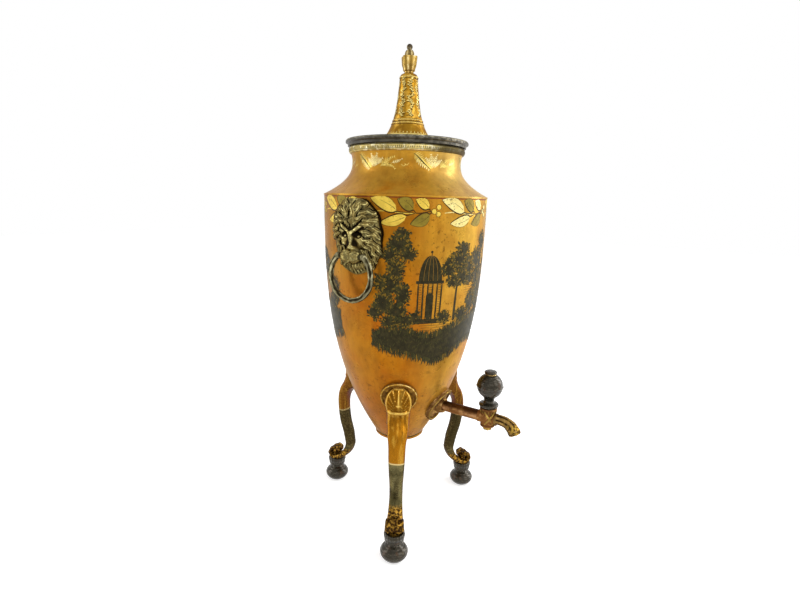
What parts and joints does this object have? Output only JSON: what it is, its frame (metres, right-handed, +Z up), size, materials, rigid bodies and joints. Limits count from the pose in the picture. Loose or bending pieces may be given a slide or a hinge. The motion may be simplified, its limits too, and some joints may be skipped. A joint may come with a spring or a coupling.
{
  "type": "tea urn",
  "caption": "Vase-shaped tea urn on three scrolled legs with ball feet, lion mask ring handles, a plug tap with a round knob, and a lid with a tall flared finial.",
  "frame": {"origin": "on the floor under the axis of the vase, in the plane of the feet", "axes": "+Z up along the vase's axis, the tap points to -Y, the ring handles are at +X and -X"},
  "size_m": [0.1912, 0.2359, 0.4801],
  "materials": {
    "japanned_tin": "satin ochre japan lacquer, worn",
    "gilt_brass": "worn gilding",
    "tap_brass": "dark browned brass",
    "aged_bronze": "dark patina with rubbed highlights",
    "ebonised_wood": "worn black polish",
    "black_japan": "worn grey-black japan",
    "tinned_sheet": "dull tinned sheet",
    "iron": "dull iron",
    "leather": "compressed leather"
  },
  "bodies": {
    "urn": {"body_cone": "japanned_tin", "body_shell": "japanned_tin", "shoulder_neck": "japanned_tin", "neck_rim": "gilt_brass", "base_cap": "japanned_tin", "heater_socket": "tinned_sheet", "leg_rear": "gilt_brass", "leg_left": "gilt_brass", "leg_right": "gilt_brass", "leg_plate_rear": "gilt_brass", "leg_plate_left": "gilt_brass", "leg_plate_right": "gilt_brass", "leg_bolts": "iron", "foot_rear": "ebonised_wood", "foot_left": "ebonised_wood", "foot_right": "ebonised_wood", "foot_screws": "iron", "tap_flange": "gilt_brass", "tap_pipe": "tap_brass", "tap_washer": "leather", "tap_backnut": "tap_brass", "tap_barrel": "tap_brass", "tap_spout": "tap_brass", "mask_left": "aged_bronze", "mask_right": "aged_bronze", "mask_studs": "iron", "mask_nuts": "iron"},
    "tap_key": {"tap_plug": "tap_brass", "plug_washer": "tap_brass", "plug_nut": "tap_brass", "knob_collar": "ebonised_wood", "tap_knob": "ebonised_wood", "knob_ferrule": "tap_brass", "knob_button": "ebonised_wood"},
    "lid": {"lid_plate": "black_japan", "lid_bezel": "tinned_sheet", "lid_spire": "gilt_brass", "finial_cup": "gilt_brass", "finial_bud": "aged_bronze", "finial_rod": "iron", "finial_nut": "iron"},
    "handle_left": {"ring_left": "aged_bronze"},
    "handle_right": {"ring_right": "aged_bronze"},
    "heater": {"heater_bar": "iron", "heater_cover": "tinned_sheet"}
  },
  "joints": [
    {"name": "tap_turn", "type": "hinge", "parent": "urn", "child": "tap_key", "pos_m": [0, -0.101, 0.131], "axis": [0, 0, 1], "range_deg": [0, 90]},
    {"name": "lid_lift", "type": "slide", "parent": "urn", "child": "lid", "axis": [0, 0, 1], "range_m": [0, 0.1]},
    {"name": "ring_left_swing", "type": "hinge", "parent": "urn", "child": "handle_left", "pos_m": [-0.08903, 0, 0.2885], "axis": [0, 1, 0], "range_deg": [-5, 100]},
    {"name": "ring_right_swing", "type": "hinge", "parent": "urn", "child": "handle_right", "pos_m": [0.08903, 0, 0.2885], "axis": [0, -1, 0], "range_deg": [-5, 100]},
    {"name": "bar_lift", "type": "slide", "parent": "urn", "child": "heater", "axis": [0, 0, 1], "range_m": [0, 0.044]}
  ]
}
